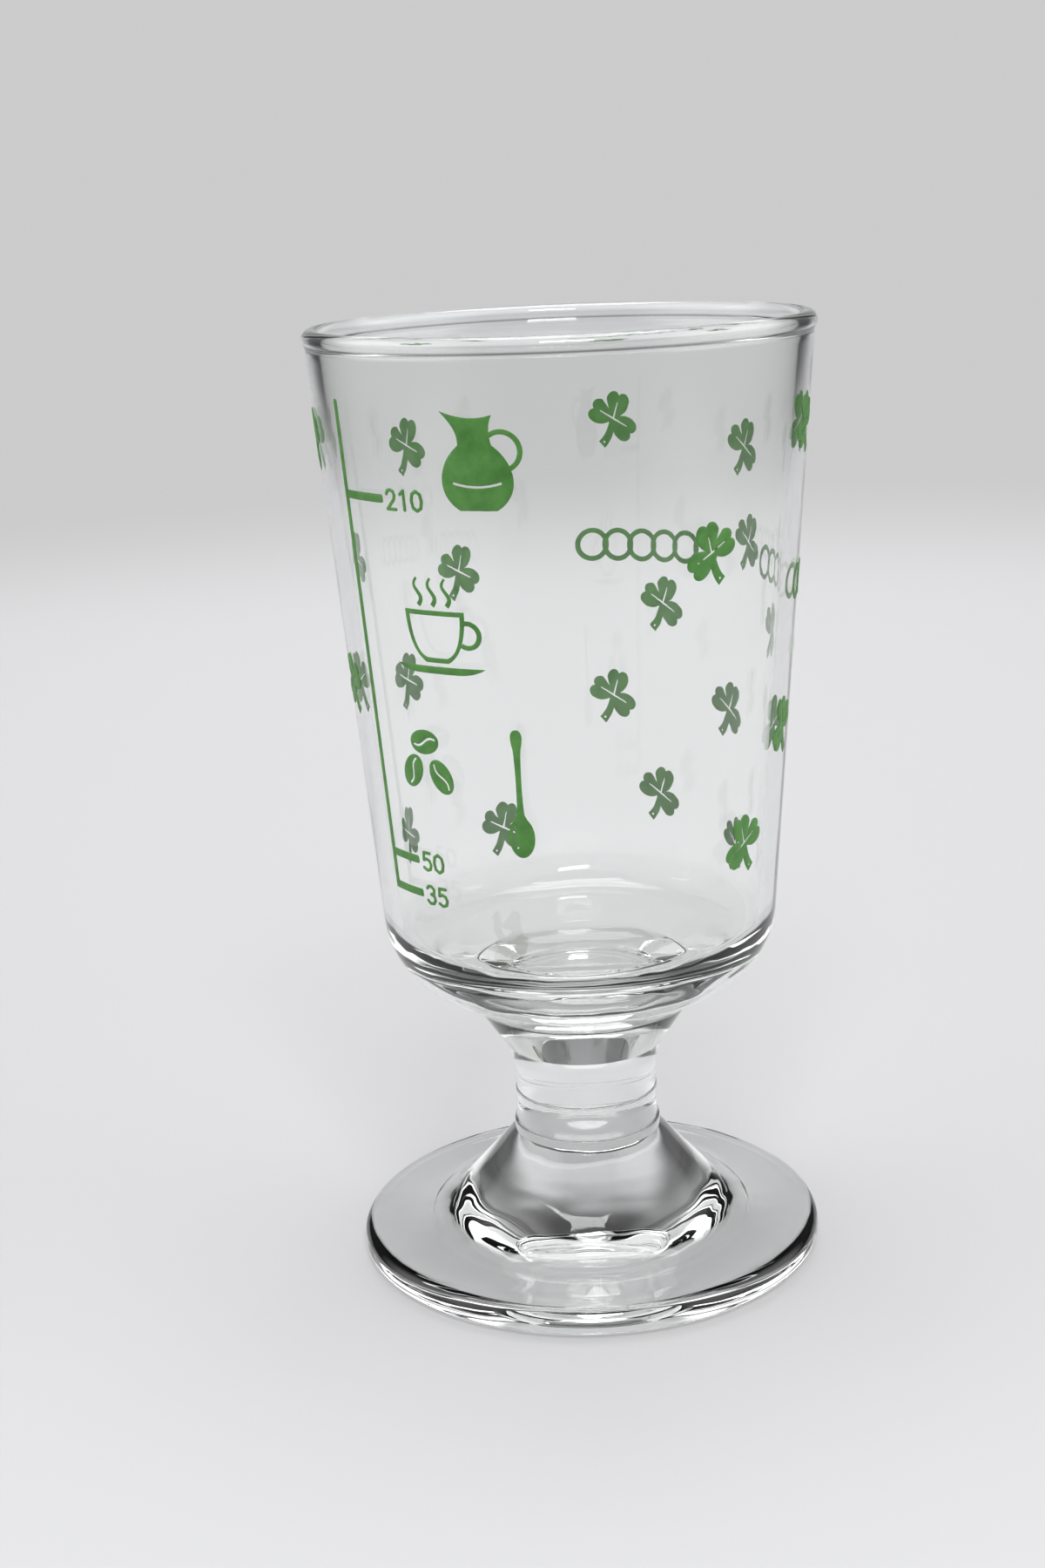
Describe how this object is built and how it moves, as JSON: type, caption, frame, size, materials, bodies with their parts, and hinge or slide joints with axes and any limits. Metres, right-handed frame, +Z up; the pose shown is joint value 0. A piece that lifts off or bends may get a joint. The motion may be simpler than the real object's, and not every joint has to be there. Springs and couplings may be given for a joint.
{
  "type": "footed irish coffee glass",
  "caption": "Footed glass for hot drinks: tapered bowl with a beaded rim, short waisted stem, wide round foot, and green enamel prints of a filling scale and shamrocks.",
  "frame": {"origin": "middle of the resting face, in the plane of the table", "axes": "+Z up along the axis of the glass, -Y towards the front, where the filling scale and the four figures are, +X to the right seen from the front"},
  "size_m": [0.0754, 0.0754, 0.146],
  "materials": {
    "clear_glass": "polished clear soda-lime glass",
    "green_enamel": "fired screen-printed enamel, satin"
  },
  "bodies": {
    "root": {"bowl": "clear_glass", "stem": "clear_glass", "foot": "clear_glass", "fill_line": "green_enamel", "fill_tick_1": "green_enamel", "fill_tick_2": "green_enamel", "fill_tick_3": "green_enamel", "cup_print": "green_enamel", "jug_print": "green_enamel", "bean_print": "green_enamel", "spoon_print": "green_enamel", "chain_border": "green_enamel", "shamrock_01": "green_enamel", "shamrock_02": "green_enamel", "shamrock_03": "green_enamel", "shamrock_04": "green_enamel", "shamrock_05": "green_enamel", "shamrock_06": "green_enamel", "shamrock_07": "green_enamel", "shamrock_08": "green_enamel", "shamrock_09": "green_enamel", "shamrock_10": "green_enamel", "shamrock_11": "green_enamel", "shamrock_12": "green_enamel", "shamrock_13": "green_enamel", "shamrock_14": "green_enamel", "shamrock_15": "green_enamel", "shamrock_16": "green_enamel", "shamrock_17": "green_enamel", "shamrock_18": "green_enamel", "shamrock_19": "green_enamel", "shamrock_20": "green_enamel", "shamrock_21": "green_enamel"}
  },
  "joints": []
}
